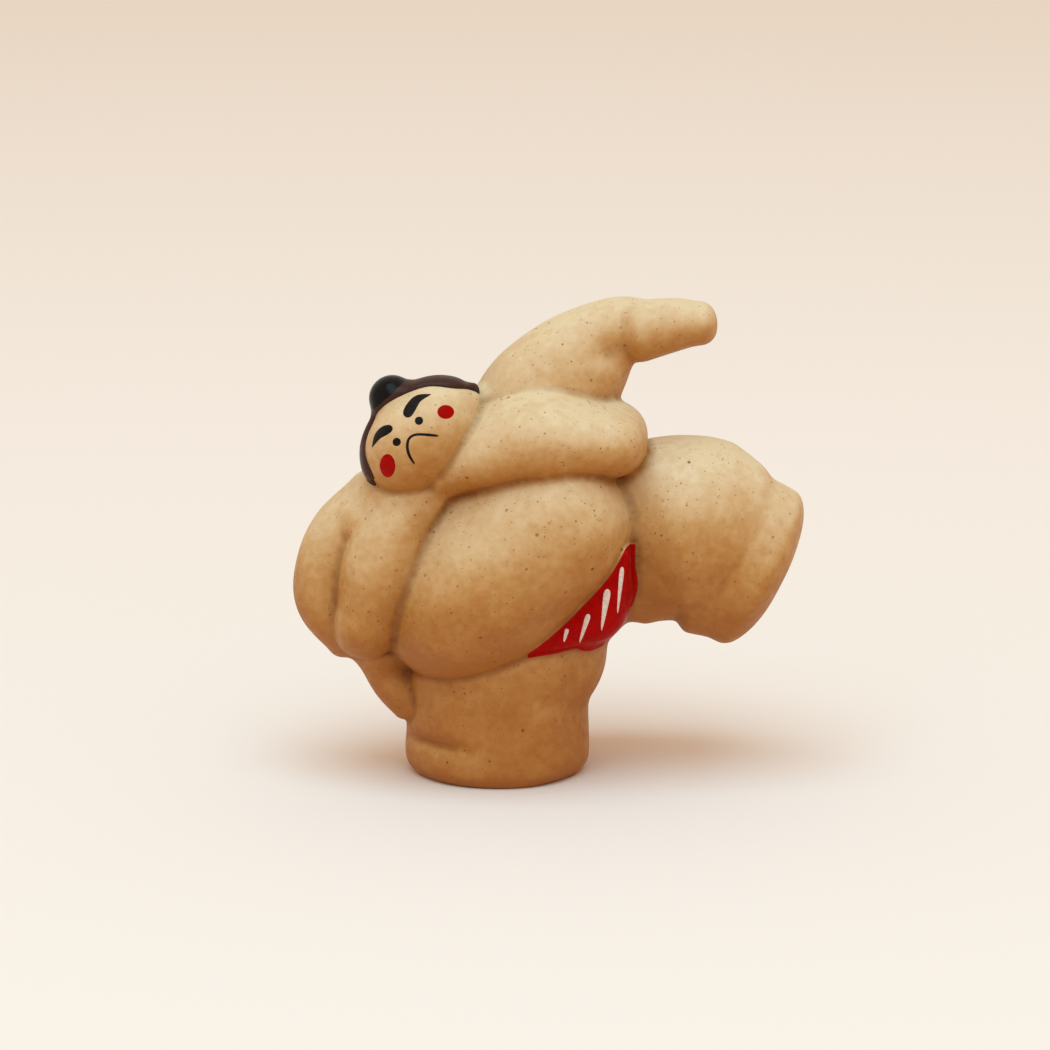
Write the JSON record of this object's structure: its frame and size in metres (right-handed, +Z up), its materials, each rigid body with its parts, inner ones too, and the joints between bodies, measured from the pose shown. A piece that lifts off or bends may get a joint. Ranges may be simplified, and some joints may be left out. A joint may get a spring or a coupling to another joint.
{
  "type": "sumo wrestler figurine",
  "caption": "Stout stoneware figurine of a sumo wrestler stamping: one leg and arm out to the side, leaning on the standing knee, with a red loincloth and painted face.",
  "frame": {"origin": "the middle of the flat sole that the figure stands on", "axes": "+X to the raised leg, +Y to the figure's back, +Z up"},
  "size_m": [0.0627, 0.031, 0.0596],
  "materials": {
    "clay": "unglazed speckled stoneware",
    "red_enamel": "red enamel, satin",
    "brown_enamel": "dark brown enamel, satin",
    "black_enamel": "black enamel, glossy",
    "white_enamel": "thin white enamel"
  },
  "bodies": {
    "root": {"standing_foot": "clay", "standing_thigh": "clay", "raised_thigh": "clay", "raised_foot": "clay", "belly": "clay", "shoulders": "clay", "left_breast": "clay", "right_breast": "clay", "head": "clay", "left_arm": "clay", "left_hand": "clay", "right_arm": "clay", "right_hand": "clay", "pelvis": "clay", "left_buttock": "clay", "right_buttock": "clay", "mawashi_front": "red_enamel", "mawashi_belt": "red_enamel", "mawashi_strap": "red_enamel", "mawashi_knot": "red_enamel", "hair_cap": "brown_enamel", "topknot": "black_enamel", "left_brow": "black_enamel", "right_brow": "black_enamel", "left_eye": "black_enamel", "right_eye": "black_enamel", "mouth": "black_enamel", "left_cheek": "red_enamel", "right_cheek": "red_enamel", "mawashi_stroke_1": "white_enamel", "mawashi_stroke_2": "white_enamel", "mawashi_stroke_3": "white_enamel", "mawashi_stroke_4": "white_enamel"}
  },
  "joints": []
}
